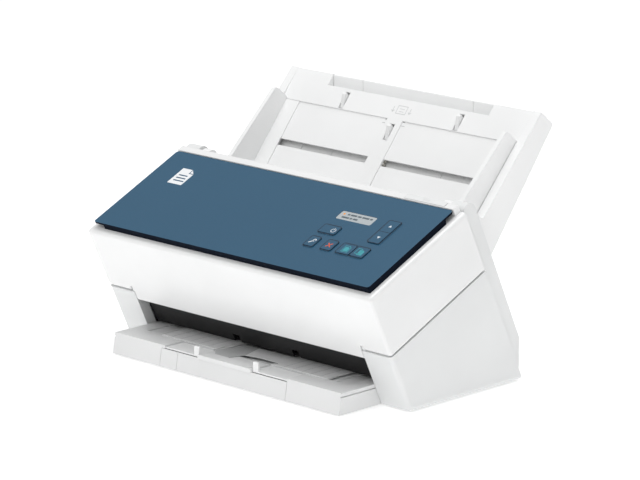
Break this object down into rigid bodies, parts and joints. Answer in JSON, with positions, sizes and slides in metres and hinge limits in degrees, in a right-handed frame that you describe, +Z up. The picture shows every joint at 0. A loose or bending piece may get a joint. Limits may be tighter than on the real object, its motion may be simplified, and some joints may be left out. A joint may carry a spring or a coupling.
{
  "type": "sheet fed document scanner",
  "caption": "Desktop sheet fed document scanner with a sloped control top, a folding input tray and an output drawer.",
  "frame": {"origin": "on the desk, under the middle of the whole unit, drawer and tray included, level with the undersides of the four feet", "axes": "+X to the operator's right along the width, +Y to the back, +Z up"},
  "size_m": [0.31, 0.2243, 0.2022],
  "materials": {
    "white_shell": "satin moulded plastic",
    "grey_side": "fine texture",
    "black_inner": "fine texture",
    "blue_plate": "brushed look under a clear coat",
    "navy_bezel": "smooth",
    "steel": "ground",
    "rubber": "matte",
    "gear_plastic": "natural acetal",
    "pane": "polished",
    "lcd": "display",
    "key_grey": "satin",
    "board_green": "solder mask",
    "tray_grey": "fine texture"
  },
  "bodies": {
    "base": {"side_cover_left": "grey_side", "side_cover_right": "grey_side", "bottom_pan": "black_inner", "rear_cover": "grey_side", "tray_ear_left": "grey_side", "tray_ear_right": "grey_side", "foot_front_left": "rubber", "foot_front_right": "rubber", "foot_rear_left": "rubber", "foot_rear_right": "rubber", "lower_guide": "black_inner", "paper_chute": "black_inner", "lower_sensor": "black_inner", "lower_glass": "pane", "drive_motor": "steel", "main_board": "board_green", "usb_port": "steel", "dc_jack": "black_inner"},
    "pick_drive": {"pick_shaft": "steel", "pick_tyres": "rubber"},
    "feed_drive": {"feed_shaft": "steel", "feed_tyres": "rubber"},
    "exit_drive": {"exit_shaft": "steel", "exit_tyres": "rubber"},
    "low_idler": {"low_idler_gear": "gear_plastic"},
    "high_idler": {"high_idler_gear": "gear_plastic"},
    "motor_rotor": {"motor_pinion": "steel"},
    "cover": {"upper_shell": "white_shell", "upper_guide": "black_inner", "upper_sensor": "black_inner", "upper_glass": "pane", "panel_bezel": "navy_bezel", "top_plate": "blue_plate", "lcd_window": "lcd", "panel_board": "board_green"},
    "separation": {"separation_roller": "rubber"},
    "feed_pinch": {"feed_idler": "rubber"},
    "exit_pinch": {"exit_idler": "rubber"},
    "latch": {"release_latch": "white_shell"},
    "power_button": {"key_power": "key_grey"},
    "tools_button": {"key_tools": "key_grey"},
    "cancel_button": {"key_cancel": "key_grey"},
    "simplex_button": {"key_simplex": "key_grey"},
    "duplex_button": {"key_duplex": "key_grey"},
    "select_rocker": {"key_rocker": "key_grey"},
    "tray": {"tray_panel": "tray_grey", "tray_back": "tray_grey"},
    "tray_stage_1": {"input_extension_outer": "tray_grey"},
    "tray_stage_2": {"input_extension_inner": "tray_grey"},
    "left_guide": {"guide_left": "tray_grey"},
    "right_guide": {"guide_right": "tray_grey"},
    "pinion": {"guide_pinion": "gear_plastic"},
    "left_flag": {"flag_left": "tray_grey"},
    "middle_flag": {"flag_middle": "tray_grey"},
    "right_flag": {"flag_right": "tray_grey"},
    "drawer": {"output_drawer": "white_shell"},
    "drawer_stage_1": {"output_extension_outer": "white_shell"},
    "drawer_stage_2": {"output_extension_inner": "white_shell"},
    "left_stop": {"paper_stop_left": "tray_grey"},
    "right_stop": {"paper_stop_right": "tray_grey"}
  },
  "joints": [
    {"name": "cover_open", "type": "hinge", "parent": "base", "child": "cover", "pos_m": [0, -0.08642, 0.05114], "axis": [-1, 0, 0], "range_deg": [-60, 0]},
    {"name": "tray_fold", "type": "hinge", "parent": "base", "child": "tray", "pos_m": [0, 0.00072, 0.1423], "axis": [1, 0, 0], "range_deg": [0, 154]},
    {"name": "tray_extension_1", "type": "slide", "parent": "tray", "child": "tray_stage_1", "axis": [0, 0.6293, 0.7771], "range_m": [0, 0.072]},
    {"name": "tray_extension_2", "type": "slide", "parent": "tray_stage_1", "child": "tray_stage_2", "axis": [0, 0.6293, 0.7771], "range_m": [0, 0.072]},
    {"name": "left_guide_slide", "type": "slide", "parent": "tray", "child": "left_guide", "axis": [1, 0, 0], "range_m": [0, 0.072]},
    {"name": "right_guide_slide", "type": "slide", "parent": "tray", "child": "right_guide", "axis": [-1, 0, 0], "range_m": [0, 0.072]},
    {"name": "guide_pinion_turn", "type": "hinge", "parent": "tray", "child": "pinion", "pos_m": [-0.0016, 0.05683, 0.14962], "axis": [0, -0.7771, 0.6293], "range_deg": [-520, 520]},
    {"name": "left_flag_press", "type": "hinge", "parent": "tray", "child": "left_flag", "pos_m": [-0.0625, 0.08495, 0.17974], "axis": [1, 0, 0], "range_deg": [-20, 0], "stiffness_Nm_per_rad": 0.02},
    {"name": "middle_flag_press", "type": "hinge", "parent": "tray", "child": "middle_flag", "pos_m": [-0.0016, 0.07268, 0.16458], "axis": [1, 0, 0], "range_deg": [-20, 0], "stiffness_Nm_per_rad": 0.02},
    {"name": "right_flag_press", "type": "hinge", "parent": "tray", "child": "right_flag", "pos_m": [0.0618, 0.08495, 0.17974], "axis": [1, 0, 0], "range_deg": [-20, 0], "stiffness_Nm_per_rad": 0.02},
    {"name": "motor_turn", "type": "hinge", "parent": "base", "child": "motor_rotor", "pos_m": [0.12, -0.03104, 0.03413], "axis": [1, 0, 0], "continuous": true},
    {"name": "pick_turn", "type": "hinge", "parent": "base", "child": "pick_drive", "pos_m": [0, -0.00064, 0.07778], "axis": [1, 0, 0], "continuous": true},
    {"name": "feed_turn", "type": "hinge", "parent": "base", "child": "feed_drive", "pos_m": [0, -0.02602, 0.06595], "axis": [1, 0, 0], "continuous": true},
    {"name": "exit_turn", "type": "hinge", "parent": "base", "child": "exit_drive", "pos_m": [0, -0.05865, 0.05074], "axis": [1, 0, 0], "continuous": true},
    {"name": "low_idler_turn", "type": "hinge", "parent": "base", "child": "low_idler", "pos_m": [0.135, -0.03865, 0.05044], "axis": [1, 0, 0], "continuous": true},
    {"name": "high_idler_turn", "type": "hinge", "parent": "base", "child": "high_idler", "pos_m": [0.135, -0.01006, 0.06485], "axis": [1, 0, 0], "continuous": true},
    {"name": "separation_turn", "type": "hinge", "parent": "cover", "child": "separation", "pos_m": [0, -0.0084, 0.09441], "axis": [1, 0, 0], "continuous": true},
    {"name": "feed_pinch_turn", "type": "hinge", "parent": "cover", "child": "feed_pinch", "pos_m": [0, -0.0325, 0.07986], "axis": [1, 0, 0], "continuous": true},
    {"name": "exit_pinch_turn", "type": "hinge", "parent": "cover", "child": "exit_pinch", "pos_m": [0, -0.06513, 0.06465], "axis": [1, 0, 0], "continuous": true},
    {"name": "latch_press", "type": "slide", "parent": "cover", "child": "latch", "axis": [0, 0.4226, -0.9063], "range_m": [0, 0.0012], "stiffness_N_per_m": 800},
    {"name": "key_power_press", "type": "slide", "parent": "cover", "child": "power_button", "axis": [0, 0.4226, -0.9063], "range_m": [0, 0.0006], "stiffness_N_per_m": 600},
    {"name": "key_tools_press", "type": "slide", "parent": "cover", "child": "tools_button", "axis": [0, 0.4226, -0.9063], "range_m": [0, 0.0006], "stiffness_N_per_m": 600},
    {"name": "key_cancel_press", "type": "slide", "parent": "cover", "child": "cancel_button", "axis": [0, 0.4226, -0.9063], "range_m": [0, 0.0006], "stiffness_N_per_m": 600},
    {"name": "key_simplex_press", "type": "slide", "parent": "cover", "child": "simplex_button", "axis": [0, 0.4226, -0.9063], "range_m": [0, 0.0006], "stiffness_N_per_m": 600},
    {"name": "key_duplex_press", "type": "slide", "parent": "cover", "child": "duplex_button", "axis": [0, 0.4226, -0.9063], "range_m": [0, 0.0006], "stiffness_N_per_m": 600},
    {"name": "rocker_tilt", "type": "hinge", "parent": "cover", "child": "select_rocker", "pos_m": [0.114, -0.05076, 0.12635], "axis": [1, 0, 0], "range_deg": [-2, 2], "stiffness_Nm_per_rad": 0.5},
    {"name": "drawer_push", "type": "slide", "parent": "base", "child": "drawer", "axis": [0, 1, 0], "range_m": [0, 0.044]},
    {"name": "drawer_extension_1", "type": "slide", "parent": "drawer", "child": "drawer_stage_1", "axis": [0, -1, 0], "range_m": [0, 0.063]},
    {"name": "drawer_extension_2", "type": "slide", "parent": "drawer_stage_1", "child": "drawer_stage_2", "axis": [0, -1, 0], "range_m": [0, 0.063]},
    {"name": "left_stop_lift", "type": "hinge", "parent": "drawer_stage_2", "child": "left_stop", "pos_m": [-0.0477, -0.10826, 0.0167], "axis": [1, 0, 0], "range_deg": [0, 80]},
    {"name": "right_stop_lift", "type": "hinge", "parent": "drawer_stage_2", "child": "right_stop", "pos_m": [0.0486, -0.10826, 0.0167], "axis": [1, 0, 0], "range_deg": [0, 80]}
  ],
  "couplings": [
    {"joint": "right_guide_slide", "follows": "left_guide_slide", "ratio": 1},
    {"joint": "guide_pinion_turn", "follows": "left_guide_slide", "rad_per_m": -125},
    {"joint": "low_idler_turn", "follows": "motor_turn", "ratio": -0.38461},
    {"joint": "feed_turn", "follows": "motor_turn", "ratio": 0.71429},
    {"joint": "exit_turn", "follows": "motor_turn", "ratio": 0.71429},
    {"joint": "high_idler_turn", "follows": "motor_turn", "ratio": -0.55556},
    {"joint": "pick_turn", "follows": "motor_turn", "ratio": 0.71429}
  ]
}
